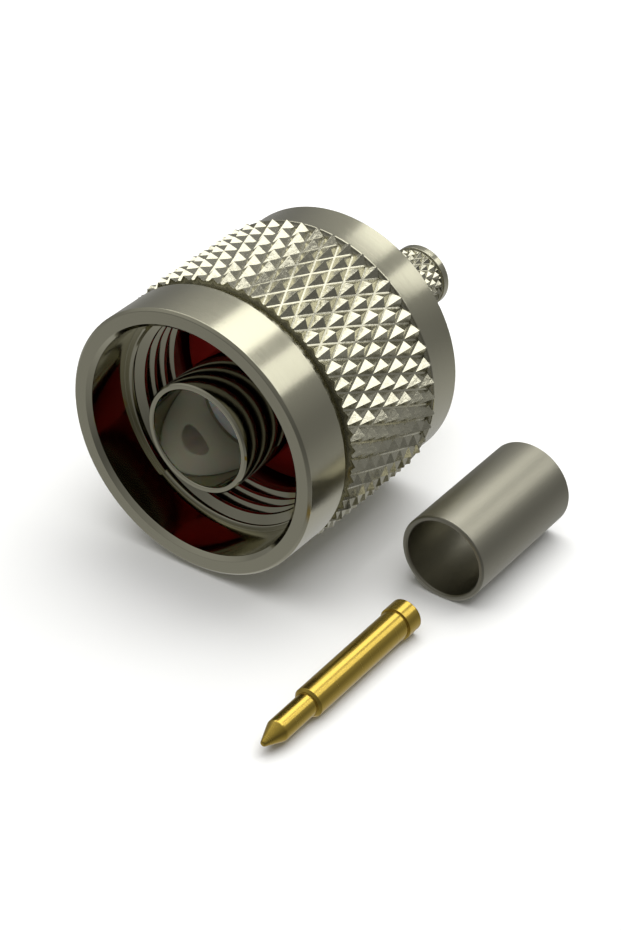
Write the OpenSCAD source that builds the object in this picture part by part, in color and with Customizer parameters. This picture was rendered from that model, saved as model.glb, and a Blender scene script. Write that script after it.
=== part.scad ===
// Crimp plug of the N pattern for thin coaxial cable, as it is supplied: the connector lies on
// the knurl of its coupling nut, with its crimp ferrule and its centre contact loose beside it.
//
// The connector's axis is X and up is Z. The origin is the centre of the outer contact's front
// end, which is the plane where two mated connectors meet. The plug opens towards -X and the
// cable enters from +X. Positions along the connector are measured from the origin.

/* [Coupling nut] */
// Length of the nut that stands in front of the outer contact
nut_overhang = 0.8; // [0.4:0.1:1.4]
// Diameter of the smooth ring at the nut's front
ring_d = 19.3; // [19:0.1:20]
// Length of the smooth ring
ring_length = 3.85; // [3:0.05:5]
// Diameter at the bottom of the groove behind the ring
groove_d = 18.3; // [18:0.1:18.6]
// Width of the groove behind the ring
groove_width = 0.65; // [0.4:0.05:1]
// Diameter over the points of the knurl
knurl_d = 20; // [19.8:0.1:20.4]
// Depth of the knurl's grooves
knurl_depth = 0.48; // [0.3:0.02:0.5]
// Length of the knurl
knurl_length = 9.28; // [7:0.1:11]
// Number of knurl points around the nut
knurl_count = 50; // [36:1:60]
// Angle between the knurl's grooves and the axis
knurl_angle = 25.3; // [20:0.1:35]
// Diameter of the smooth band at the nut's rear
band_d = 19; // [18.8:0.1:19.1]
// Length of the smooth band
band_length = 3.27; // [3:0.01:4.5]
// Chamfer on the nut's outer edges
nut_edge = 0.18; // [0.1:0.02:0.4]

/* [Inside the nut] */
// Diameter of the smooth bore ahead of the thread
entry_d = 16.6; // [16.2:0.1:17]
// Depth of that bore from the nut's front face
entry_depth = 3.7; // [3:0.1:4.5]
// Chamfer at the mouth of the nut
mouth_chamfer = 0.3; // [0.1:0.05:0.5]
// Minor diameter of the 5/8-24 coupling thread
thread_minor_d = 14.7; // [14.65:0.05:14.9]
// Major diameter of the coupling thread
thread_major_d = 15.9; // [15.8:0.05:16]
// Length of the threaded land, with its chamfers
thread_length = 4.75; // [4:0.05:5]
// Diameter of the relief behind the thread, where the gasket lies
relief_d = 16.2; // [16:0.1:16.6]

/* [Body] */
// Outer diameter of the outer contact
contact_d = 8; // [7.9:0.05:8.1]
// Bore of the outer contact
contact_bore_d = 7; // [6.8:0.05:7.1]
// Chamfer on the lip of the outer contact
lip_chamfer = 0.12; // [0.05:0.01:0.2]
// Diameter of the thickened root that the gasket sits on
root_d = 8.6; // [8.4:0.1:9]
// Distance from the origin to the front face of the flange
flange_position = 10.8; // [10.6:0.1:11.4]
// Thickness of the flange that backs the gasket and takes the nut's pull
flange_thickness = 1.5; // [1:0.1:1.8]
// Diameter of the journal that the nut turns on
journal_d = 13; // [12.6:0.1:13.4]
// Length of the journal
journal_length = 3.8; // [3.4:0.1:4.4]
// Chamfer on the journal's rear edge
journal_chamfer = 0.25; // [0.1:0.05:0.4]

/* [Crimp stem] */
// Diameter of the smooth ring at the stem's end
stem_d = 4.62; // [4.4:0.02:4.8]
// Length of the stem behind the journal
stem_length = 10.3; // [8:0.1:12]
// Bore of the stem, for the cable's inner insulation
stem_bore_d = 3.05; // [2.9:0.05:3.3]
// Length of the smooth ring at the stem's end
stem_end_length = 0.75; // [0.5:0.05:1.5]
// Length of the smooth neck at the stem's root
stem_neck_length = 0.5; // [0.3:0.1:1.5]
// Chamfer on the stem's end
stem_chamfer = 0.2; // [0.1:0.02:0.3]
// Step from the stem's end ring down to the points of its knurl
stem_step = 0.03; // [0.02:0.01:0.1]
// Depth of the stem's knurl
stem_knurl_depth = 0.24; // [0.15:0.01:0.28]
// Number of knurl points around the stem
stem_knurl_count = 20; // [16:1:24]
// Angle between the stem knurl's grooves and its axis
stem_knurl_angle = 31; // [25:0.5:40]

/* [Insulator and gasket] */
// Depth of the insulator's face inside the outer contact
insulator_depth = 5.4; // [5.3:0.05:6]
// Length of the insulator
insulator_length = 9.6; // [8.6:0.1:9.8]
// Chamfer on the insulator's ends
insulator_chamfer = 0.15; // [0.05:0.05:0.3]
// Thickness of the gasket
gasket_thickness = 1.7; // [1:0.1:1.9]
// Radius of the gasket's rounded edges
gasket_edge = 0.25; // [0.1:0.05:0.4]

/* [Snap ring] */
// Thickness of the snap ring along the axis
snap_thickness = 0.8; // [0.6:0.05:1]
// Radial width of the snap ring
snap_width = 0.95; // [0.8:0.05:1]
// Opening between the ends of the snap ring
snap_gap = 2.2; // [1.5:0.1:3]
// Distance from the flange's rear face to the snap ring's groove
snap_position = 1.6; // [1.3:0.1:1.8]
// Free space between the snap ring and the bottom of each groove
snap_clearance = 0.3; // [0.3:0.05:0.4]

/* [Centre contact] */
// Diameter of the contact's tip section
tip_d = 1.58; // [1.5:0.02:1.65]
// Length of the tip section with its point
tip_length = 4.6; // [4:0.1:5]
// Length of the point
point_length = 1.5; // [1.2:0.1:2]
// Diameter of the point's blunt end
point_end_d = 0.36; // [0.2:0.02:0.6]
// Diameter of the shank that passes through the insulator
shank_d = 2.08; // [2:0.02:2.14]
// Chamfer on the shank's shoulder
shank_chamfer = 0.16; // [0.05:0.01:0.2]
// Diameter of the collar behind the insulator
collar_d = 2.34; // [2.24:0.02:2.5]
// Length of the collar
collar_length = 1.25; // [0.8:0.05:2]
// Diameter of the hole for the cable's inner conductor
conductor_d = 0.95; // [0.9:0.05:1.1]
// Depth of that hole
conductor_depth = 3.2; // [2:0.1:5]

/* [Ferrule] */
// Outer diameter of the ferrule
ferrule_d = 6.3; // [6.1:0.05:6.6]
// Bore of the ferrule
ferrule_bore_d = 5.5; // [5.3:0.05:5.6]
// Length of the ferrule
ferrule_length = 10.75; // [9:0.05:12]
// Chamfer on the ferrule's edges
ferrule_chamfer = 0.1; // [0.05:0.01:0.15]

/* [Fits] */
// Radial clearance between the nut and the journal
turning_clearance = 0.05; // [0.03:0.01:0.1]
// Play of the nut along the axis
nut_play = 0.15; // [0.1:0.05:0.3]
// Play of the snap ring in the body's groove
snap_play = 0.1; // [0.05:0.05:0.2]
// Radial clearance with which the flange passes the thread when the body is put in
flange_clearance = 0.05; // [0.05:0.05:0.3]
// Radial clearance between the gasket and its seat
gasket_clearance = 0.05; // [0.02:0.01:0.15]
// Radial clearance between the gasket and the nut's relief
gasket_rim_clearance = 0.3; // [0.3:0.05:0.5]
// Clearance between the centre contact and the insulator
contact_clearance = 0.04; // [0.02:0.01:0.08]

/* [Layout of the loose pieces] */
// Distance of the loose pieces' axis to the side of the connector
side_distance = 15.1; // [14:0.1:24]
// Distance from the origin back to the ferrule's front end
ferrule_position = 6.3; // [5:0.1:12]
// Distance from the origin forward to the tip of the centre contact
tip_position = 13.3; // [12.5:0.1:20]

/* [Hidden] */

nickel = [0.72, 0.70, 0.61];
satin_nickel = [0.55, 0.53, 0.46];
spring_bronze = [0.66, 0.47, 0.28];
gold = [0.80, 0.66, 0.33];
silicone = [0.62, 0.07, 0.04];
ptfe = [0.94, 0.94, 0.95];

round_fn = 96;
// Share of a knurl cell's half diagonal that the flat bottom of the groove takes
groove_share = 0.09;
// Depth to which added shapes run into the piece that they grow from
bite = 0.3;
// Depth of the stem's core below the bottoms of the grooves
core_relief = 0.04;

// Stations along the axis
nut_front = -nut_overhang;
groove_front = nut_front + ring_length;
knurl_front = groove_front + groove_width;
knurl_rear = knurl_front + knurl_length;
nut_rear = knurl_rear + band_length;
thread_front = nut_front + entry_depth;
thread_rear = thread_front + thread_length;
flange_rear = flange_position + flange_thickness;
body_rear = flange_rear + journal_length;
stem_knurl_front = body_rear + stem_neck_length;
stem_rear = body_rear + stem_length;
stem_ring_front = stem_rear - stem_end_length;
insulator_rear = insulator_depth + insulator_length;
gasket_front = flange_position - gasket_thickness;
nut_shoulder = flange_rear + nut_play;
snap_front = flange_rear + snap_position;
snap_rear = snap_front + snap_thickness;

flange_r = thread_minor_d / 2 - flange_clearance;
gasket_seat_r = root_d / 2 + gasket_clearance;
gasket_r = relief_d / 2 - gasket_rim_clearance;

// The snap ring bridges the joint between the journal and the nut's rear bore
nut_bore_r = journal_d / 2 + turning_clearance;
snap_inner_r = (journal_d / 2 + nut_bore_r - snap_width) / 2;
snap_outer_r = snap_inner_r + snap_width;
ring_seat_r = snap_inner_r - snap_clearance;

// Stations along the centre contact, from its tip
shank_front = tip_length + shank_chamfer;
collar_front = tip_length + insulator_length + contact_clearance;
pin_length = collar_front + collar_length;

// The loose pieces lie on the plane that the knurl's points rest on
ground = -knurl_d / 2;
// The front edges of the shank and of the collar both touch the ground
pin_tilt = atan((collar_d - shank_d) / 2 / (collar_front - shank_front));

function polar(x, r, angle) = [x, r * cos(angle), r * sin(angle)];

// A solid of revolution about X, from a profile of [position, radius] points
module turned(profile) {
    rotate([0, 90, 0])
        rotate_extrude($fn = round_fn)
            polygon([for (p = profile) [p[1], p[0]]]);
}

// A straight hole or rod along X
module along_axis(from, to, d) {
    translate([from, 0, 0])
        rotate([0, 90, 0])
            cylinder(d = d, h = to - from, $fn = round_fn);
}

// Diamond knurl as a closed ring, ready to join to a turned core. Rows of pyramids are staggered
// by half a cell. Each pyramid stands on four feet, named by their direction: e and w around the
// axis, n and s along it. Narrow flat-bottomed grooves run between the pyramids.
module diamond_knurl(from, length, d, depth, inner_d, count, angle) {
    cell_around = 180 / count;
    rows = max(1, round(2 * count * length * tan(angle) / (PI * d)));
    cell_along = length / rows;
    foot = 1 - groove_share;
    low_r = d / 2 - depth;

    // Column of a pyramid in row i, in half cells around the axis
    function column(i, k) = 2 * k + i % 2;
    function foot_point(i, j) = polar(from + i * cell_along, low_r, j * cell_around);
    function pyramid(i, k) =
        let (j = column(i, k))
        [
            polar(from + i * cell_along, d / 2, j * cell_around),
            foot_point(i, j + foot),
            foot_point(i, j - foot),
            foot_point(min(i + foot, rows), j),
            foot_point(max(i - foot, 0), j)
        ];

    tip = 0;
    e = 1;
    w = 2;
    n = 3;
    s = 4;
    corners = len(pyramid(0, 0));
    inner_start = corners * count * (rows + 1);
    // Index of one corner of pyramid k in row i, and of one corner of the inner ring
    function at(i, k, corner) = corners * (i * count + (k + count) % count) + corner;
    function inner(end, k) = inner_start + end * count + (k + count) % count;
    // Pyramid of the next or last row that stands half a cell to the east or the west
    function east(i, k) = k + i % 2;
    function west(i, k) = k + i % 2 - 1;

    points = concat(
        [for (i = [0 : rows], k = [0 : count - 1]) each pyramid(i, k)],
        [for (k = [0 : count - 1]) polar(from, inner_d / 2, column(0, k) * cell_around)],
        [for (k = [0 : count - 1]) polar(from + length, inner_d / 2, column(rows, k) * cell_around)]
    );

    north_sides = [for (i = [0 : rows - 1], k = [0 : count - 1]) each [
        [at(i, k, tip), at(i, k, n), at(i, k, e)],
        [at(i, k, tip), at(i, k, w), at(i, k, n)]
    ]];
    south_sides = [for (i = [1 : rows], k = [0 : count - 1]) each [
        [at(i, k, tip), at(i, k, e), at(i, k, s)],
        [at(i, k, tip), at(i, k, s), at(i, k, w)]
    ]];
    grooves = [for (i = [0 : rows - 1], k = [0 : count - 1]) each [
        [at(i, k, e), at(i, k, n), at(i + 1, east(i, k), w), at(i + 1, east(i, k), s)],
        [at(i, k, n), at(i, k, w), at(i + 1, west(i, k), s), at(i + 1, west(i, k), e)]
    ]];
    crossings = [for (i = [1 : rows - 1], k = [0 : count - 1])
        [at(i, k, e), at(i + 1, east(i, k), s), at(i, k + 1, w), at(i - 1, east(i, k), n)]
    ];
    front_crossings = [for (k = [0 : count - 1])
        [at(0, k, e), at(1, east(0, k), s), at(0, k + 1, w)]
    ];
    rear_crossings = [for (k = [0 : count - 1])
        [at(rows, k, e), at(rows, k + 1, w), at(rows - 1, east(rows, k), n)]
    ];
    front_face = [for (k = [0 : count - 1])
        [inner(0, k), at(0, k, tip), at(0, k, e), at(0, k + 1, w), at(0, k + 1, tip), inner(0, k + 1)]
    ];
    rear_face = [for (k = [0 : count - 1]) [
        inner(1, k + 1), at(rows, k + 1, tip), at(rows, k + 1, w), at(rows, k, e),
        at(rows, k, tip), inner(1, k)
    ]];
    inside = [for (k = [0 : count - 1]) each [
        [inner(0, k), inner(0, k + 1), inner(1, k)],
        [inner(0, k + 1), inner(1, k + 1), inner(1, k)]
    ]];

    polyhedron(points, concat(north_sides, south_sides, grooves, crossings, front_crossings,
        rear_crossings, front_face, rear_face, inside));
}

module coupling_nut() {
    color(nickel)
    union() {
        difference() {
            turned([
                [nut_front, 0],
                [nut_front, ring_d / 2 - nut_edge],
                [nut_front + nut_edge, ring_d / 2],
                [groove_front, ring_d / 2],
                [groove_front, groove_d / 2],
                [knurl_rear - bite, groove_d / 2],
                [knurl_rear - bite, band_d / 2],
                [nut_rear - nut_edge, band_d / 2],
                [nut_rear, band_d / 2 - nut_edge],
                [nut_rear, 0]
            ]);
            turned([
                [nut_front - bite, 0],
                [nut_front - bite, entry_d / 2 + mouth_chamfer + bite],
                [nut_front + mouth_chamfer, entry_d / 2],
                [thread_front, entry_d / 2],
                [thread_front, thread_major_d / 2],
                [thread_front + (thread_major_d - thread_minor_d) / 2, thread_minor_d / 2],
                [thread_rear, thread_minor_d / 2],
                [thread_rear, relief_d / 2],
                [nut_shoulder, relief_d / 2],
                [nut_shoulder, nut_bore_r],
                [snap_front - nut_play, nut_bore_r],
                [snap_front - nut_play, snap_outer_r + snap_clearance],
                [snap_rear + nut_play, snap_outer_r + snap_clearance],
                [snap_rear + nut_play, nut_bore_r],
                [nut_rear - nut_edge, nut_bore_r],
                [nut_rear + bite, nut_bore_r + nut_edge + bite],
                [nut_rear + bite, 0]
            ]);
        }
        diamond_knurl(knurl_front, knurl_length, knurl_d, knurl_depth,
            groove_d - 2 * bite, knurl_count, knurl_angle);
    }
}

module snap_ring() {
    color(spring_bronze)
    difference() {
        turned([
            [snap_front, snap_inner_r],
            [snap_front, snap_outer_r],
            [snap_rear, snap_outer_r],
            [snap_rear, snap_inner_r]
        ]);
        translate([snap_front - bite, -snap_gap / 2, 0])
            cube([snap_thickness + 2 * bite, snap_gap, snap_outer_r + bite]);
    }
}

module body() {
    stem_points_r = stem_d / 2 - stem_step;
    stem_core_r = stem_points_r - stem_knurl_depth - core_relief;
    color(nickel)
    union() {
        difference() {
            turned([
                [0, 0],
                [0, contact_d / 2 - lip_chamfer],
                [lip_chamfer, contact_d / 2],
                [gasket_front, contact_d / 2],
                [gasket_front, root_d / 2],
                [flange_position, root_d / 2],
                [flange_position, flange_r],
                [flange_rear, flange_r],
                [flange_rear, journal_d / 2],
                [snap_front - snap_play, journal_d / 2],
                [snap_front - snap_play, ring_seat_r],
                [snap_rear, ring_seat_r],
                [snap_rear, journal_d / 2],
                [body_rear - journal_chamfer, journal_d / 2],
                [body_rear, journal_d / 2 - journal_chamfer],
                [body_rear, stem_core_r],
                [stem_ring_front, stem_core_r],
                [stem_ring_front, stem_d / 2],
                [stem_rear - stem_chamfer, stem_d / 2],
                [stem_rear, stem_d / 2 - stem_chamfer],
                [stem_rear, 0]
            ]);
            turned([
                [-bite, 0],
                [-bite, contact_bore_d / 2 + lip_chamfer + bite],
                [lip_chamfer, contact_bore_d / 2],
                [insulator_rear, contact_bore_d / 2],
                [insulator_rear, 0]
            ]);
            along_axis(insulator_rear - bite, stem_rear + bite, stem_bore_d);
        }
        diamond_knurl(stem_knurl_front, stem_ring_front + bite - stem_knurl_front,
            2 * stem_points_r, stem_knurl_depth, stem_core_r + stem_bore_d / 2,
            stem_knurl_count, stem_knurl_angle);
    }
}

module insulator() {
    color(ptfe)
    difference() {
        turned([
            [insulator_depth, 0],
            [insulator_depth, contact_bore_d / 2 - insulator_chamfer],
            [insulator_depth + insulator_chamfer, contact_bore_d / 2],
            [insulator_rear - insulator_chamfer, contact_bore_d / 2],
            [insulator_rear, contact_bore_d / 2 - insulator_chamfer],
            [insulator_rear, 0]
        ]);
        along_axis(insulator_depth - bite, insulator_rear + bite, shank_d + 2 * contact_clearance);
    }
}

module gasket() {
    color(silicone)
    rotate([0, 90, 0])
        rotate_extrude($fn = round_fn)
            difference() {
                translate([gasket_seat_r, gasket_front])
                    square([gasket_r - gasket_seat_r, gasket_thickness]);
                translate([gasket_r - gasket_edge, gasket_front + gasket_edge])
                    rim_waste(gasket_edge, -1);
                translate([gasket_r - gasket_edge, flange_position - gasket_edge])
                    rim_waste(gasket_edge, 1);
            }
}

// The corner that a rounded outer edge leaves away, on the side given by direction
module rim_waste(r, direction) {
    mirror([0, direction < 0 ? 1 : 0])
        difference() {
            square(r + bite);
            circle(r, $fn = round_fn);
        }
}

// The centre contact about its own axis, with its tip at x = 0
module pin_blank() {
    difference() {
        turned([
            [0, 0],
            [0, point_end_d / 2],
            [point_length, tip_d / 2],
            [tip_length, tip_d / 2],
            [tip_length, shank_d / 2 - shank_chamfer],
            [shank_front, shank_d / 2],
            [collar_front, shank_d / 2],
            [collar_front, collar_d / 2],
            [pin_length, collar_d / 2],
            [pin_length, 0]
        ]);
        along_axis(pin_length - conductor_depth, pin_length + bite, conductor_d);
    }
}

module centre_pin() {
    color(gold)
    translate([-tip_position, -side_distance, ground])
        rotate([0, -pin_tilt, 0])
            translate([0, 0, shank_d / 2 - shank_front * tan(pin_tilt)])
                pin_blank();
}

module crimp_ferrule() {
    inner_r = ferrule_bore_d / 2;
    outer_r = ferrule_d / 2;
    color(satin_nickel)
    translate([ferrule_position, -side_distance, ground + outer_r])
        turned([
            [0, inner_r + ferrule_chamfer],
            [0, outer_r - ferrule_chamfer],
            [ferrule_chamfer, outer_r],
            [ferrule_length - ferrule_chamfer, outer_r],
            [ferrule_length, outer_r - ferrule_chamfer],
            [ferrule_length, inner_r + ferrule_chamfer],
            [ferrule_length - ferrule_chamfer, inner_r],
            [ferrule_chamfer, inner_r]
        ]);
}

coupling_nut();
snap_ring();
body();
insulator();
gasket();
centre_pin();
crimp_ferrule();
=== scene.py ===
"""Crimp plug of the N pattern with its loose ferrule and centre contact: meshes, finishes, studio.

Lengths are in millimetres until a mesh or an object is made. X is the connector's axis, the plug
opens towards -X, Z is up, and the origin is the centre of the outer contact's front end.
"""

from math import atan, cos, pi, radians, sin, sqrt, tan

import bmesh
import bpy
import numpy as np
from mathutils import Matrix, Vector


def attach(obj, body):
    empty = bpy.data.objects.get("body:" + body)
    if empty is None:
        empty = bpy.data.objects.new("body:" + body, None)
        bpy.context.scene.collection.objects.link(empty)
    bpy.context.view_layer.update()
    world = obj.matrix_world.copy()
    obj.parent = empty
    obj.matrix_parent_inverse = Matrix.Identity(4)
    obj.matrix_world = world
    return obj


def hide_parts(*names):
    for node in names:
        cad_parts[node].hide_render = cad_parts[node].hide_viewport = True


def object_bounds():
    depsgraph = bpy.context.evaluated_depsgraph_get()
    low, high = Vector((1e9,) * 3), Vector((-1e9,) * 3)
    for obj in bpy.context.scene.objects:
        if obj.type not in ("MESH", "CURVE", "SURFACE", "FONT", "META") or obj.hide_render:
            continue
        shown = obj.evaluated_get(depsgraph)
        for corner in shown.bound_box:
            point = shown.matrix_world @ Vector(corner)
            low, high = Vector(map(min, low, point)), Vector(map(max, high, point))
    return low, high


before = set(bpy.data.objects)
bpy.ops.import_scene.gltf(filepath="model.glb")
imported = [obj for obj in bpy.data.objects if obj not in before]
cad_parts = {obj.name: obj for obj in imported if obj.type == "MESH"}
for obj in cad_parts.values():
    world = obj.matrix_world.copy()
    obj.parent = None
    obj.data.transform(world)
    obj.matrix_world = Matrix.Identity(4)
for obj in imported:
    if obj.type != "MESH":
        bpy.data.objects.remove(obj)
cad_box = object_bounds()

MM = 0.001
WELD = 1e-8  # metres within which two points are one
FINE = 256  # segments around a turned surface
SMALL = 128  # segments around the thin contact
SHARP = radians(12)  # the least turn between two faces that earns a rounded edge
GROOVE_SHARE = 0.11  # share of a knurl cell's half diagonal that the groove's flat bottom takes


# ---------------------------------------------------------------- profiles and meshes

def rounded(path, steps=3):
    """Points of an open path, with an arc at each corner that gives a third value, its radius."""
    out = [tuple(path[0][:2])]
    for before, corner, after in zip(path, path[1:], path[2:]):
        at = Vector(corner[:2])
        if len(corner) < 3:
            out.append(tuple(at))
            continue
        back = Vector(before[:2]) - at
        ahead = Vector(after[:2]) - at
        half = back.angle(ahead) / 2
        reach = min(corner[2] / tan(half), 0.45 * back.length, 0.45 * ahead.length)
        radius = reach * tan(half)
        centre = at + (back.normalized() + ahead.normalized()).normalized() * radius / sin(half)
        first = at + back.normalized() * reach - centre
        last = at + ahead.normalized() * reach - centre
        sweep = pi - 2 * half
        for k in range(steps + 1):
            share = k / steps
            mixed = (first * sin((1 - share) * sweep) + last * sin(share * sweep)) / sin(sweep)
            out.append(tuple(centre + mixed))
    out.append(tuple(path[-1][:2]))
    return out


def polar(x, r, angle):
    return (x, r * cos(angle), r * sin(angle))


def lathe(path, segments, closed=True):
    """Points and faces of a path of (x, r) turned about X."""
    points = [polar(x, r, 2 * pi * j / segments) for x, r in path for j in range(segments)]
    rows = len(path)
    faces = []
    for i in range(rows if closed else rows - 1):
        for j in range(segments):
            k = (j + 1) % segments
            n = (i + 1) % rows
            faces.append((i * segments + j, n * segments + j, n * segments + k, i * segments + k))
    return points, faces


def threaded_lathe(path, thread, front, rear, pitch, cap, segments):
    """As lathe, with a thread cut between the path's last point and its first.

    thread is one turn's path, and cap(x) the least radius that the lead chamfer leaves at x.
    """
    points, faces = lathe(path, segments, closed=False)
    per_turn = len(thread)
    rows = per_turn * (int((rear - front) / pitch) + 3)
    start = len(points)
    for i in range(rows):
        along, r = thread[i % per_turn]
        for j in range(segments):
            x = front + along + pitch * (i // per_turn - 1 + j / segments)
            if x <= front:
                x, radius = front, cap(front)
            elif x >= rear:
                x = rear
                radius = max(cap(x), thread_radius(thread, x - front, j / segments, pitch))
            else:
                radius = max(cap(x), r)
            points.append(polar(x, radius, 2 * pi * j / segments))

    def at(i, j):
        turned_row = i if j < segments else min(i + per_turn, rows - 1)
        return start + turned_row * segments + j % segments

    for i in range(rows - 1):
        for j in range(segments):
            faces.append((at(i, j), at(i + 1, j), at(i + 1, j + 1), at(i, j + 1)))
    last_ring = start - segments
    for j in range(segments):
        k = (j + 1) % segments
        faces.append((last_ring + j, start + j, start + k, last_ring + k))
        faces.append((at(rows - 1, j), j, k, at(rows - 1, k)))
    return points, faces


def thread_radius(thread, x, turn, pitch):
    """Radius of the thread at x past its start, at that share of a turn."""
    u = (x - pitch * turn) % pitch
    xs = [p[0] for p in thread] + [pitch]
    rs = [p[1] for p in thread] + [thread[0][1]]
    return float(np.interp(u, xs, rs))


def diamond_knurl(start, length, radius, depth, inner, count, angle, turn=0.0, uneven=0.0):
    """Points and faces of a closed ring of staggered pyramids with flat-bottomed grooves.

    turn is in half cells. uneven is how far, in mm, the points may lie from their true places.
    """
    rows = max(1, round(count * length * tan(radians(angle)) / (pi * radius)))
    step = length / rows
    around = pi / count
    foot = 1 - GROOVE_SHARE
    low = radius - depth
    chance = np.random.default_rng(7)
    points, faces = [], []
    for i in range(rows + 1):
        for k in range(count):
            j = 2 * k + i % 2 + turn
            x = start + i * step
            along, aside, down = uneven * chance.uniform((-1, -1, 0), 1)
            points += [
                polar(x + along, radius - down, j * around + aside / radius),
                polar(x, low, (j + foot) * around),
                polar(x, low, (j - foot) * around),
                polar(start + min(i + foot, rows) * step, low, j * around),
                polar(start + max(i - foot, 0) * step, low, j * around),
            ]
    tip, e, w, n, s = range(5)
    ring = len(points)
    for end, x in ((0, start), (rows, start + length)):
        points += [polar(x, inner, (2 * k + end % 2 + turn) * around) for k in range(count)]

    def at(i, k, corner):
        return 5 * (i * count + k % count) + corner

    def inside(end, k):
        return ring + end * count + k % count

    for i in range(rows + 1):
        for k in range(count):
            east = k + i % 2
            west = east - 1
            if i < rows:
                faces += [(at(i, k, tip), at(i, k, n), at(i, k, e)),
                          (at(i, k, tip), at(i, k, w), at(i, k, n)),
                          (at(i, k, e), at(i, k, n), at(i + 1, east, w), at(i + 1, east, s)),
                          (at(i, k, n), at(i, k, w), at(i + 1, west, s), at(i + 1, west, e))]
            if i > 0:
                faces += [(at(i, k, tip), at(i, k, e), at(i, k, s)),
                          (at(i, k, tip), at(i, k, s), at(i, k, w))]
            if 0 < i < rows:
                faces.append((at(i, k, e), at(i + 1, east, s), at(i, k + 1, w),
                              at(i - 1, east, n)))
    for k in range(count):
        east = k + rows % 2
        faces += [
            (at(0, k, e), at(1, k, s), at(0, k + 1, w)),
            (at(rows, k, e), at(rows, k + 1, w), at(rows - 1, east, n)),
            (inside(0, k), at(0, k, tip), at(0, k, e), at(0, k + 1, w), at(0, k + 1, tip),
             inside(0, k + 1)),
            (inside(1, k + 1), at(rows, k + 1, tip), at(rows, k + 1, w), at(rows, k, e),
             at(rows, k, tip), inside(1, k)),
            (inside(0, k), inside(0, k + 1), inside(1, k + 1), inside(1, k)),
        ]
    return points, faces


def shell(points, faces, bevel=0.0, outer=0.0, ends=()):
    """A welded mesh in metres. bevel rounds the edges that lie beyond the radius outer.

    ends are the two stations, in mm along X, at which a ring is cut off square.
    """
    made = bmesh.new()
    corners = [made.verts.new(Vector(p) * MM) for p in points]
    for face in faces:
        distinct = list(dict.fromkeys(face))
        if len(distinct) > 2:
            made.faces.new([corners[i] for i in distinct])
    bmesh.ops.remove_doubles(made, verts=made.verts, dist=WELD)
    bmesh.ops.dissolve_degenerate(made, edges=made.edges, dist=WELD)
    for x, side in zip(ends, (-1, 1)):
        cut = bmesh.ops.bisect_plane(made, geom=made.verts[:] + made.edges[:] + made.faces[:],
                                     plane_co=(x * MM, 0, 0), plane_no=(side, 0, 0),
                                     clear_outer=True)
        rim = [part for part in cut["geom_cut"] if isinstance(part, bmesh.types.BMEdge)]
        bmesh.ops.bridge_loops(made, edges=rim)
    bmesh.ops.recalc_face_normals(made, faces=made.faces)
    if bevel:
        edges = [edge for edge in made.edges
                 if edge.calc_face_angle(0) > SHARP
                 and min(v.co.yz.length for v in edge.verts) > outer * MM]
        bmesh.ops.bevel(made, geom=edges, offset=bevel * MM, segments=2, profile=0.5,
                        affect="EDGES", clamp_overlap=True)
    mesh = bpy.data.meshes.new("shell")
    made.to_mesh(mesh)
    made.free()
    return mesh


def piece(name, shells, materials, paint=None):
    """One object from its shells. paint(x, r) picks the material of a face by its centre in mm."""
    joined = bmesh.new()
    for mesh in shells:
        joined.from_mesh(mesh)
        bpy.data.meshes.remove(mesh)
    mesh = bpy.data.meshes.new(name)
    joined.to_mesh(mesh)
    joined.free()
    for material in materials:
        mesh.materials.append(material)
    if paint:
        for polygon in mesh.polygons:
            x, y, z = polygon.center / MM
            polygon.material_index = paint(x, sqrt(y * y + z * z))
    mesh.polygons.foreach_set("use_smooth", [True] * len(mesh.polygons))
    weighted_normals(mesh)
    made = bpy.data.objects.new(name, mesh)
    bpy.context.scene.collection.objects.link(made)
    return made


def weighted_normals(mesh):
    """Vertex normals weighted by face area, so that flats stay flat beside small roundings."""
    normals = np.zeros((len(mesh.vertices), 3))
    for polygon in mesh.polygons:
        normals[list(polygon.vertices)] += np.array(polygon.normal) * polygon.area
    normals /= np.maximum(np.linalg.norm(normals, axis=1), 1e-30)[:, None]
    mesh.normals_split_custom_set_from_vertices([tuple(n) for n in normals])


# ---------------------------------------------------------------- materials

def linear(colour):
    """Linear RGBA of an sRGB hex colour."""
    parts = [int(colour[i:i + 2], 16) / 255 for i in (1, 3, 5)]
    return [p / 12.92 if p <= 0.04045 else ((p + 0.055) / 1.055) ** 2.4 for p in parts] + [1]


def add(tree, kind, inputs=None, **settings):
    """Adds a shader node. inputs maps a socket to a value or to the socket that feeds it."""
    made = tree.nodes.new("ShaderNode" + kind)
    for name, value in settings.items():
        setattr(made, name, value)
    for name, value in (inputs or {}).items():
        if isinstance(value, bpy.types.NodeSocket):
            tree.links.new(value, made.inputs[name])
        else:
            made.inputs[name].default_value = value
    return made


def principled(name, colour, **sockets):
    """A Principled material. Returns the material, its tree and the shader."""
    material = bpy.data.materials.new(name)
    material.use_nodes = True
    shader = material.node_tree.nodes["Principled BSDF"]
    shader.inputs["Base Color"].default_value = linear(colour)
    for socket, value in sockets.items():
        shader.inputs[socket.replace("_", " ")].default_value = value
    return material, material.node_tree, shader


def turned_marks(tree, width):
    """Noise that changes along and across the axis in steps of about width mm, and not around."""
    place = add(tree, "TexCoord").outputs["Object"]
    across = add(tree, "VectorMath", {0: place, 1: (0, 1, 1)}, operation="MULTIPLY")
    radius = add(tree, "VectorMath", {0: across.outputs[0]}, operation="LENGTH")
    along = add(tree, "SeparateXYZ", {0: place})
    flat = add(tree, "CombineXYZ", {"X": along.outputs["X"], "Y": radius.outputs["Value"]})
    return add(tree, "TexNoise", {"Vector": flat.outputs[0], "Scale": 1 / (width * MM),
                                  "Detail": 3.0, "Roughness": 0.6})


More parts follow.
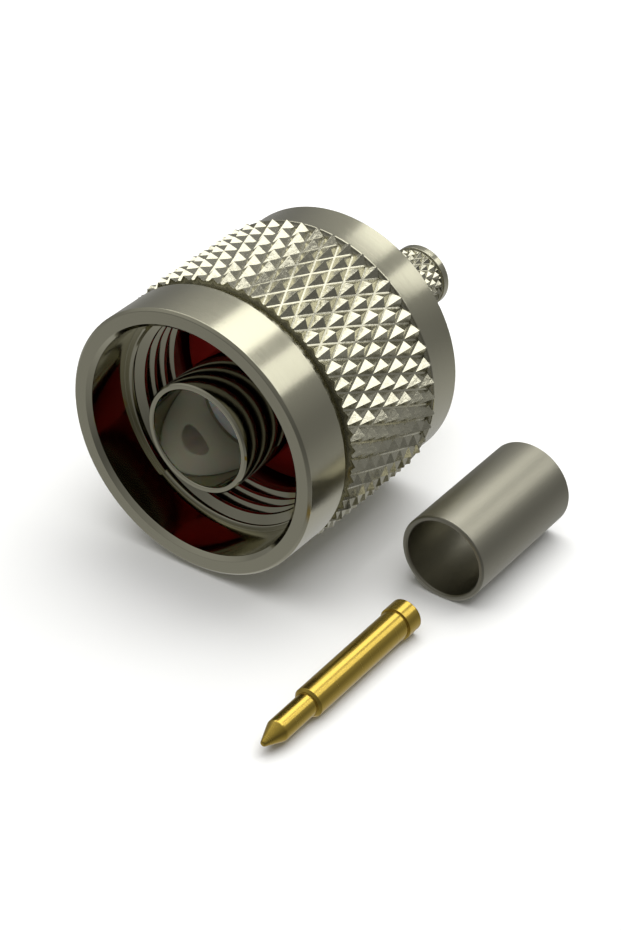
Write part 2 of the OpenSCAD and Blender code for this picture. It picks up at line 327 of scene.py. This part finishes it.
def grain(tree, size, detail=3.0):
    """Even noise with features of about size mm."""
    place = add(tree, "TexCoord").outputs["Object"]
    return add(tree, "TexNoise", {"Vector": place, "Scale": 1 / (size * MM), "Detail": detail})


def rough_between(tree, shader, noise, low, high):
    """Roughness that follows the noise from low to high."""
    spread = add(tree, "MapRange", {"Value": noise.outputs["Fac"], "From Min": 0.3,
                                    "From Max": 0.7, "To Min": low, "To Max": high})
    tree.links.new(spread.outputs["Result"], shader.inputs["Roughness"])


def bump(tree, shader, noise, height):
    """Bumps of about height mm on the shader's normal."""
    made = add(tree, "Bump", {"Height": noise.outputs["Fac"], "Distance": height * MM})
    tree.links.new(made.outputs["Normal"], shader.inputs["Normal"])


def around_axis(tree, shader):
    """Turns the shader's stretched highlights so that they follow the tool's rings."""
    ring = add(tree, "Tangent", direction_type="RADIAL", axis="X")
    tree.links.new(ring.outputs["Tangent"], shader.inputs["Tangent"])
    shader.inputs["Anisotropic Rotation"].default_value = 0.25


def turned_nickel(name, low, high, marks, height, anisotropic):
    """Bright nickel over turned brass: the tool's fine rings stretch each highlight."""
    material, tree, shader = principled(name, "#BFBCA6", Metallic=1.0, Anisotropic=anisotropic)
    lines = turned_marks(tree, marks)
    rough_between(tree, shader, lines, low, high)
    bump(tree, shader, lines, height)
    around_axis(tree, shader)
    return material


def formed_nickel():
    """Bright nickel over rolled knurls: each facet is slightly uneven, so it glints apart."""
    material, tree, shader = principled("knurled_nickel", "#C4C1AC", Metallic=1.0)
    noise = grain(tree, size=0.25)
    rough_between(tree, shader, noise, low=0.16, high=0.30)
    bump(tree, shader, noise, height=0.02)
    return material


def satin_nickel():
    """Matt nickel over drawn tube: a fine even grain that breaks up highlights."""
    material, tree, shader = principled("satin_nickel", "#A5A292", Metallic=1.0)
    noise = grain(tree, size=0.06, detail=4.0)
    rough_between(tree, shader, noise, low=0.32, high=0.46)
    bump(tree, shader, noise, height=0.006)
    return material


def gold_plate():
    """Hard gold over turned brass: warm, polished, with faint tool rings."""
    material, tree, shader = principled("gold_plate", "#CDB052", Metallic=1.0, Anisotropic=0.5)
    lines = turned_marks(tree, width=0.05)
    rough_between(tree, shader, lines, low=0.16, high=0.28)
    bump(tree, shader, lines, height=0.003)
    around_axis(tree, shader)
    return material


def red_silicone():
    """Moulded silicone rubber: deep red, slightly waxy, with a soft sheen."""
    material, tree, shader = principled("red_silicone", "#B01A10", Roughness=0.4,
                                        Subsurface_Weight=0.15, Subsurface_Scale=0.0006)
    bump(tree, shader, grain(tree, size=0.2), height=0.004)
    return material


def white_ptfe():
    """Turned PTFE: waxy white, with light that soaks in at its edges and faint tool rings."""
    material, tree, shader = principled("white_ptfe", "#F4F4F6", Roughness=0.35,
                                        Subsurface_Weight=0.4, Subsurface_Scale=0.001)
    bump(tree, shader, turned_marks(tree, width=0.08), height=0.003)
    return material


def spring_bronze():
    """Bare phosphor bronze strip, dull from handling."""
    material, tree, shader = principled("spring_bronze", "#A9743F", Metallic=1.0)
    rough_between(tree, shader, grain(tree, size=0.1), low=0.35, high=0.5)
    return material


def paper():
    """Matt white backdrop paper."""
    material, _, _ = principled("paper", "#F2F2F0", Roughness=0.9)
    return material


# ---------------------------------------------------------------- pieces

# Places in mm that two or more pieces share
GROUND = -10.0
SIDE = -15.1  # axis of the loose pieces
CONTACT_BORE_R = 3.5
BEAD_REAR = 15.0
GASKET_FRONT = 9.1
FLANGE_FRONT, FLANGE_REAR = 10.8, 12.3
JOURNAL_R = 6.5


def coupling_nut():
    """Nut with its diamond knurl, front groove, smooth ends and 5/8-24 internal thread."""
    front, rear, edge = -0.8, 16.25, 0.18
    ring_r, ring_rear = 9.65, 3.05
    groove_r = 9.15
    rim_r, rim_front, rim_rear = 9.78, 12.9, 13.12
    band_r, band_front = 9.5, 13.35
    entry_r, mouth_chamfer = 8.3, 0.3
    thread_front, thread_rear = 2.9, 7.65
    major, minor = 7.94, 7.35
    relief_r, shoulder = 8.1, FLANGE_REAR + 0.15
    bore_r = JOURNAL_R + 0.05
    snap_r, snap_front, snap_rear = 7.3, 13.75, 14.85
    pitch = 25.4 / 24
    flank = (major - minor) * tan(radians(30))
    crest = pitch / 4
    root = pitch - crest - 2 * flank
    path = rounded([
        (thread_rear, relief_r), (shoulder, relief_r, 0.05), (shoulder, bore_r, 0.05),
        (snap_front, bore_r), (snap_front, snap_r), (snap_rear, snap_r), (snap_rear, bore_r),
        (rear - edge, bore_r, 0.03), (rear, bore_r + edge, 0.04), (rear, band_r - edge, 0.06),
        (rear - edge, band_r, 0.06), (band_front, band_r), (rim_rear, rim_r, 0.04),
        (rim_front, rim_r), (rim_front, groove_r), (ring_rear, groove_r, 0.06),
        (ring_rear, ring_r, 0.06), (front + edge, ring_r, 0.08), (front, ring_r - edge, 0.08),
        (front, entry_r + mouth_chamfer, 0.04), (front + mouth_chamfer, entry_r, 0.1),
        (thread_front, entry_r, 0.04), (thread_front, major)])
    turn = rounded([(0, minor), (crest / 2, minor, 0.05), (crest / 2 + flank, major, 0.04),
                    (crest / 2 + flank + root, major, 0.04), (pitch - crest / 2, minor, 0.05),
                    (pitch, minor)])[:-1]
    turned = shell(*threaded_lathe(path, turn, thread_front, thread_rear, pitch,
                                   lambda x: major - (x - thread_front), FINE))
    knurl_front, knurl_rear = 3.9, 13.0
    knurl = shell(*diamond_knurl(start=3.55, length=10.606, radius=10.0, depth=0.48, inner=8.85,
                                 count=50, angle=25.3, turn=0.667, uneven=0.06),
                  bevel=0.02, outer=9.4, ends=(knurl_front, knurl_rear))

    def finish(x, r):
        """Bored inside, rolled over the knurl and turned everywhere else."""
        if r < entry_r + 0.25:
            return 1
        return 2 if knurl_front - 0.05 < x < knurl_rear - 0.01 and r > groove_r else 0

    outside = turned_nickel("turned_nickel", low=0.16, high=0.26, marks=0.06, height=0.004,
                            anisotropic=0.6)
    inside = turned_nickel("bored_nickel", low=0.06, high=0.12, marks=0.1, height=0.002,
                           anisotropic=0.3)
    made = piece("nut_dressed", [turned, knurl], [outside, inside, formed_nickel()], finish)
    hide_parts("coupling_nut")
    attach(made, "nut")


def body():
    """Outer contact, flange, journal and knurled crimp stem, turned from one bar."""
    lip, contact_r, root_r, flange_r = 0.12, 4.0, 4.3, 7.3
    journal_rear, journal_chamfer = 16.1, 0.25
    snap_r, snap_front, snap_rear = 5.75, 13.8, 14.7
    stem_bore_r, stem_core_r, stem_r = 1.525, 2.0, 2.31
    stem_ring, stem_rear, stem_chamfer = 25.65, 26.4, 0.2
    path = rounded([
        (lip, CONTACT_BORE_R), (BEAD_REAR, CONTACT_BORE_R), (BEAD_REAR, stem_bore_r),
        (stem_rear, stem_bore_r, 0.06), (stem_rear, stem_r - stem_chamfer, 0.06),
        (stem_rear - stem_chamfer, stem_r, 0.06), (stem_ring, stem_r, 0.05),
        (stem_ring, stem_core_r), (journal_rear, stem_core_r, 0.1),
        (journal_rear, JOURNAL_R - journal_chamfer, 0.08),
        (journal_rear - journal_chamfer, JOURNAL_R, 0.08), (snap_rear, JOURNAL_R),
        (snap_rear, snap_r), (snap_front, snap_r), (snap_front, JOURNAL_R),
        (FLANGE_REAR, JOURNAL_R), (FLANGE_REAR, flange_r), (FLANGE_FRONT, flange_r),
        (FLANGE_FRONT, root_r), (GASKET_FRONT, root_r), (GASKET_FRONT, contact_r),
        (lip, contact_r, 0.05), (0, contact_r - lip, 0.05), (0, CONTACT_BORE_R + lip, 0.05),
        (lip, CONTACT_BORE_R)])[:-1]
    turned = shell(*lathe(path, FINE))
    knurl_front, knurl_inner = 16.6, 1.76
    knurl = shell(*diamond_knurl(start=knurl_front, length=9.35, radius=2.28, depth=0.24,
                                 inner=knurl_inner, count=20, angle=31), bevel=0.015, outer=1.99)

    def finish(x, r):
        """Polished over the barrel, rolled over the stem's knurl and turned elsewhere."""
        if x < GASKET_FRONT + 0.1:
            return 1
        return 2 if knurl_front - 0.05 < x < stem_ring + 0.01 and r > knurl_inner + 0.01 else 0

    outside = turned_nickel("turned_body", low=0.10, high=0.18, marks=0.06, height=0.002,
                            anisotropic=0.5)
    polished = turned_nickel("polished_barrel", low=0.03, high=0.07, marks=0.1, height=0.0008,
                             anisotropic=0.2)
    made = piece("body_dressed", [turned, knurl], [outside, polished, formed_nickel()], finish)
    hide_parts("body")
    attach(made, "plug")


def insulator():
    """White bead with the hole for the centre contact."""
    front, hole_r, outer_r = 5.4, 1.08, CONTACT_BORE_R - 0.01
    along, across = 0.15, 0.14
    seam = (6.5, hole_r)
    path = rounded([seam, (front, hole_r, 0.05), (front, outer_r - across, 0.04),
                    (front + along, outer_r, 0.04), (BEAD_REAR - along, outer_r, 0.04),
                    (BEAD_REAR, outer_r - across, 0.04), (BEAD_REAR, hole_r, 0.05), seam])[:-1]
    made = piece("insulator_dressed", [shell(*lathe(path, FINE))], [white_ptfe()])
    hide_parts("insulator")
    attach(made, "plug")


def gasket():
    """Red sealing ring between the root of the outer contact and the nut's relief."""
    hole_r, rim_r = 4.35, 7.8
    seam = (10.0, hole_r)
    path = rounded([seam, (GASKET_FRONT, hole_r, 0.12), (GASKET_FRONT, rim_r, 0.25),
                    (FLANGE_FRONT, rim_r, 0.25), (FLANGE_FRONT, hole_r, 0.12), seam], 5)[:-1]
    made = piece("gasket_dressed", [shell(*lathe(path, FINE))], [red_silicone()])
    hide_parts("gasket")
    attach(made, "plug")


def centre_pin():
    """Gold contact, lying on its collar's and shank's edges with its tip low."""
    point_r, point_length = 0.18, 1.5
    tip_r, tip_length = 0.79, 4.6
    shank_r, shoulder = 1.04, 0.16
    collar_r, collar_front = 1.17, 14.24
    length, hole_r, hole_depth = 15.49, 0.475, 3.2
    shank_front = tip_length + shoulder
    path = rounded([
        (0, 0), (0, point_r, 0.14), (point_length, tip_r, 0.5), (tip_length, tip_r, 0.03),
        (tip_length, shank_r - shoulder, 0.03), (shank_front, shank_r, 0.04),
        (collar_front, shank_r, 0.03), (collar_front, collar_r, 0.03),
        (length, collar_r, 0.05), (length, hole_r, 0.04), (length - hole_depth, hole_r),
        (length - hole_depth, 0)])
    made = piece("pin_dressed", [shell(*lathe(path, SMALL, closed=False))], [gold_plate()])
    tilt = atan((collar_r - shank_r) / (collar_front - shank_front))
    lift = shank_r - shank_front * tan(tilt)
    made.matrix_world = (Matrix.Translation(Vector((-13.3, SIDE, GROUND)) * MM)
                         @ Matrix.Rotation(-tilt, 4, "Y")
                         @ Matrix.Translation(Vector((0, 0, lift)) * MM))
    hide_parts("centre_pin")
    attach(made, "plug")


def crimp_ferrule():
    """Plain tube with a small chamfer on each of its four edges."""
    length, bore_r, outer_r, chamfer = 10.75, 2.75, 3.15, 0.1
    soft = 0.06
    seam = (5, bore_r)
    path = rounded([
        seam, (chamfer, bore_r, soft), (0, bore_r + chamfer, soft),
        (0, outer_r - chamfer, soft), (chamfer, outer_r, soft),
        (length - chamfer, outer_r, soft), (length, outer_r - chamfer, soft),
        (length, bore_r + chamfer, soft), (length - chamfer, bore_r, soft), seam])[:-1]
    made = piece("ferrule_dressed", [shell(*lathe(path, FINE))], [satin_nickel()])
    made.location = Vector((6.3, SIDE, GROUND + outer_r)) * MM
    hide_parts("crimp_ferrule")
    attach(made, "plug")


def snap_ring():
    """The carried-over snap ring keeps its shape, hidden between body and nut."""
    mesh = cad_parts["snap_ring"].data
    mesh.materials.clear()
    mesh.materials.append(spring_bronze())


# ---------------------------------------------------------------- studio

CEILING = 90  # height in mm of the light tent's roof
CAMERA_PLACE = (-109.21, -87.67, 93.14)
CAMERA_RIGHT = (0.58404, -0.81172, 0)
CAMERA_UP = (0.45667, 0.32858, 0.82673)

def floor():
    """White paper. The metal mirrors the room and not the paper, which keeps its greys deep."""
    low = cad_box[0][2]
    size = 3.0  # half of the sheet's side, in metres
    mesh = bpy.data.meshes.new("floor")
    mesh.from_pydata([(-size, -size, low), (size, -size, low), (size, size, low),
                      (-size, size, low)], [], [(0, 1, 2, 3)])
    mesh.materials.append(paper())
    made = bpy.data.objects.new("floor", mesh)
    made.visible_glossy = False
    bpy.context.scene.collection.objects.link(made)


def panel(name, height, x_range, y_range, radiance, mirrored=True):
    """A light panel that faces straight down, height mm above the origin.

    radiance is how bright it looks in a mirror, and mirrored says whether metal shows it.
    """
    data = bpy.data.lights.new(name, "AREA")
    data.shape = "RECTANGLE"
    data.size = (x_range[1] - x_range[0]) * MM
    data.size_y = (y_range[1] - y_range[0]) * MM
    data.energy = radiance * pi * data.size * data.size_y
    made = bpy.data.objects.new(name, data)
    made.location = Vector((sum(x_range) / 2, sum(y_range) / 2, height)) * MM
    made.visible_glossy = mirrored
    bpy.context.scene.collection.objects.link(made)


def surroundings():
    """A room that is dim at the horizon, lighter above and below, and darkest in front."""
    away_from_camera = (0.81, 0.58, 0)
    front_share, back_share = 0.5, 1.0
    level, steepest = 0.24, 0.52
    world = bpy.data.worlds.new("room")
    world.use_nodes = True
    tree = world.node_tree
    heading = add(tree, "TexCoord").outputs["Generated"]
    beyond = add(tree, "VectorMath", {0: heading, 1: away_from_camera},
                 operation="DOT_PRODUCT")
    share = add(tree, "MapRange", {"Value": beyond.outputs["Value"], "From Min": -0.6,
                                   "From Max": 0.3, "To Min": front_share,
                                   "To Max": back_share})
    height = add(tree, "SeparateXYZ", {0: heading})
    steep = add(tree, "Math", {0: height.outputs["Z"]}, operation="ABSOLUTE")
    light = add(tree, "MapRange", {"Value": steep.outputs[0], "From Min": 0.1,
                                   "From Max": 0.75, "To Min": level, "To Max": steepest})
    both = add(tree, "Math", {0: share.outputs["Result"], 1: light.outputs["Result"]},
               operation="MULTIPLY")
    tree.links.new(both.outputs[0], tree.nodes["Background"].inputs["Strength"])
    tree.nodes["Background"].inputs["Color"].default_value = (1, 1, 1, 1)
    bpy.context.scene.world = world


def camera():
    """A long lens that looks down into the plug's mouth, past the side of the loose pieces."""
    data = bpy.data.cameras.new("camera")
    data.sensor_width = 36
    data.lens = 100.54
    data.clip_start = 0.01
    made = bpy.data.objects.new("camera", data)
    right, up = Vector(CAMERA_RIGHT), Vector(CAMERA_UP)
    turn = Matrix((right, up, right.cross(up))).transposed().to_4x4()
    made.matrix_world = Matrix.Translation(Vector(CAMERA_PLACE) * MM) @ turn
    bpy.context.scene.collection.objects.link(made)
    bpy.context.scene.camera = made


coupling_nut()
body()
insulator()
gasket()
snap_ring()
centre_pin()
crimp_ferrule()
floor()
panel("ceiling", CEILING, x_range=(12, 60), y_range=(-75, 100), radiance=1.9)
panel("far_right", CEILING, x_range=(60, 118), y_range=(-23, 30), radiance=1.65)
panel("far_left", CEILING, x_range=(70, 180), y_range=(-122, -49), radiance=1.25)
panel("fill", height=350, x_range=(-225, 225), y_range=(-225, 225), radiance=1.9,
      mirrored=False)
surroundings()
camera()
bpy.context.scene.view_settings.view_transform = "Standard"
